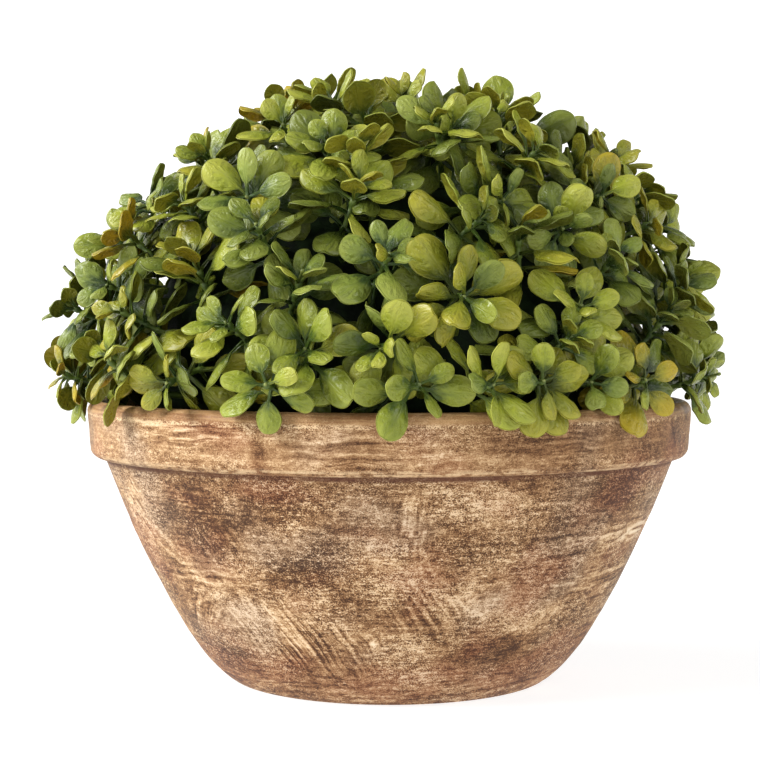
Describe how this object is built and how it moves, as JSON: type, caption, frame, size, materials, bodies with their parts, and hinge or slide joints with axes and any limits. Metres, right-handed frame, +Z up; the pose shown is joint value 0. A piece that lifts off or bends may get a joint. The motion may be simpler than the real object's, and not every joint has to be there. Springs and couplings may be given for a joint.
{
  "type": "artificial box topiary half-ball in a round bowl pot",
  "caption": "Clipped dome of artificial box foliage, whorls of rounded plastic leaves on short twigs, spilling over the heavy lip of a round tapering bowl pot with a worn brushed finish.",
  "frame": {"origin": "middle of the pot's flat underside, on the pot's axis", "axes": "+Z up along the pot's axis, -Y towards the front, +X to the right seen from the front"},
  "size_m": [0.231, 0.2229, 0.2027],
  "materials": {
    "pot_finish": "matte",
    "foam": "matte",
    "stem_plastic": "matte",
    "foliage": "satin"
  },
  "bodies": {
    "root": {"pot": "pot_finish", "foam_fill": "foam", "stem": "stem_plastic", "foliage_dome": "foliage"}
  },
  "joints": []
}
